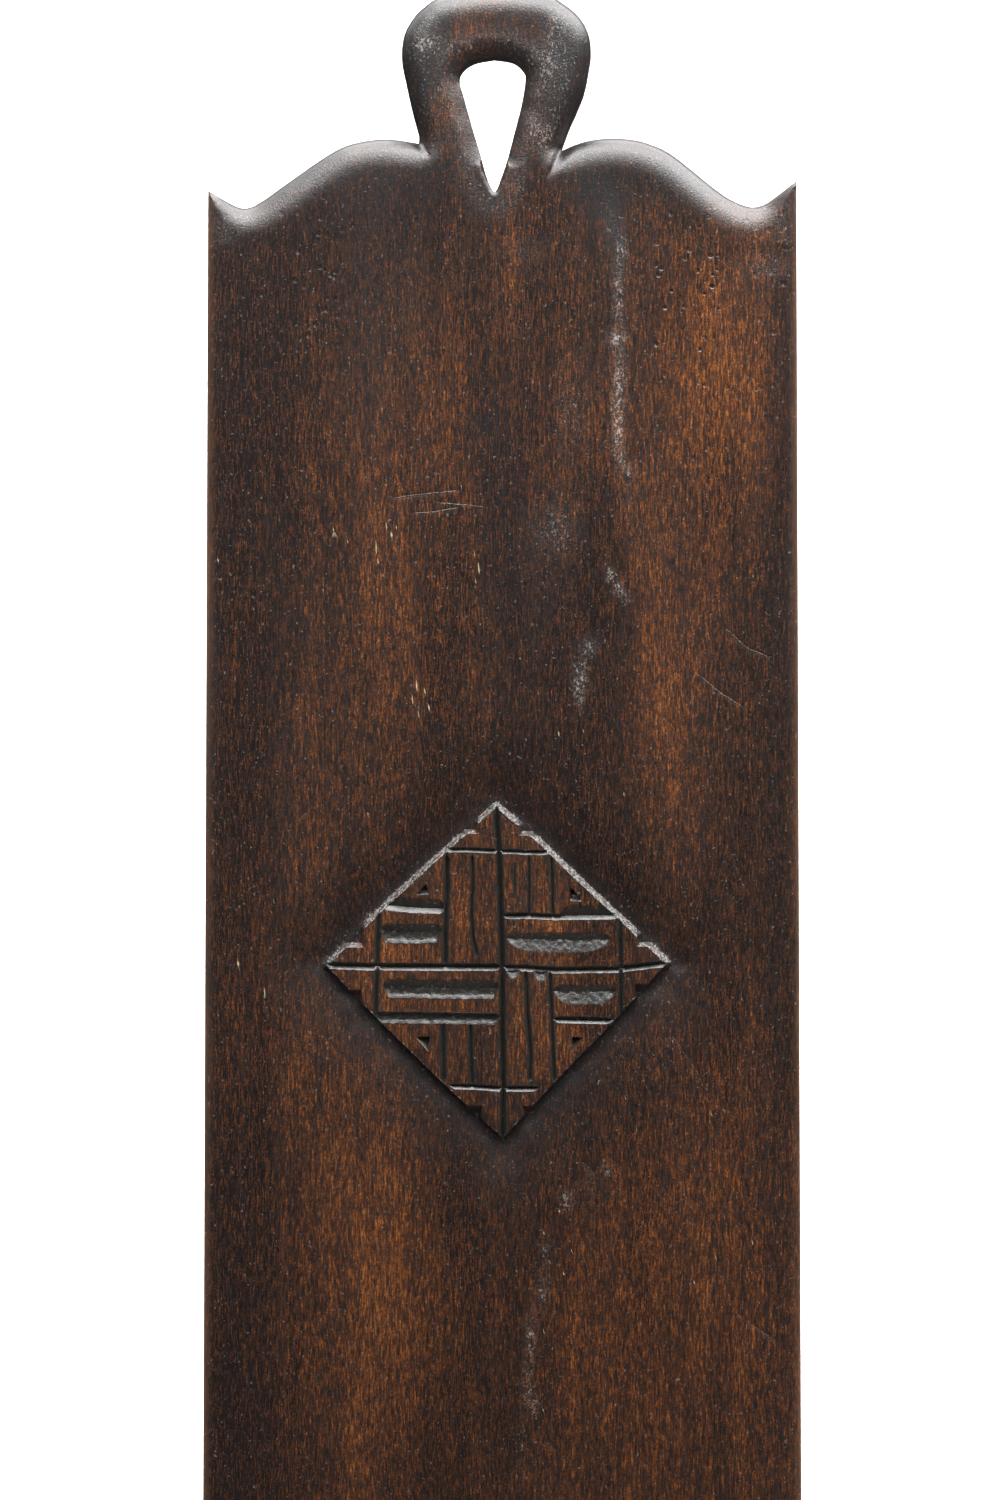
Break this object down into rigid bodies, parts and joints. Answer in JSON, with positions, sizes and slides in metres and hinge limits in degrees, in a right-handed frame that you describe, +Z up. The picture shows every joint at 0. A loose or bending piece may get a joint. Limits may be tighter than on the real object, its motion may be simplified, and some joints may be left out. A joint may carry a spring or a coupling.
{
  "type": "plank headrest",
  "caption": "Tall carved headrest board with a loop handle and a woven lozenge, held up by a seat plank that slides through its mortise.",
  "frame": {"origin": "on the floor, under the middle of the object's bounding box", "axes": "+Z up, -Y to the front where the sitter faces, +X to the object's own left as it faces forward"},
  "size_m": [0.2958, 0.7006, 0.8722],
  "materials": {
    "board_wood": "dark stained hardwood, hand rubbed to a low sheen, reddish brown where worn",
    "seat_wood": "dark stained hardwood, hand rubbed to a low sheen, worn brighter on the seat"
  },
  "bodies": {
    "headrest_board": {"headrest_board": "board_wood"},
    "seat_plank": {"seat_plank": "seat_wood"}
  },
  "joints": [
    {"name": "seat_slide", "type": "slide", "parent": "headrest_board", "child": "seat_plank", "axis": [0, -0.9272, 0.3746], "range_m": [0, 0.42]}
  ]
}
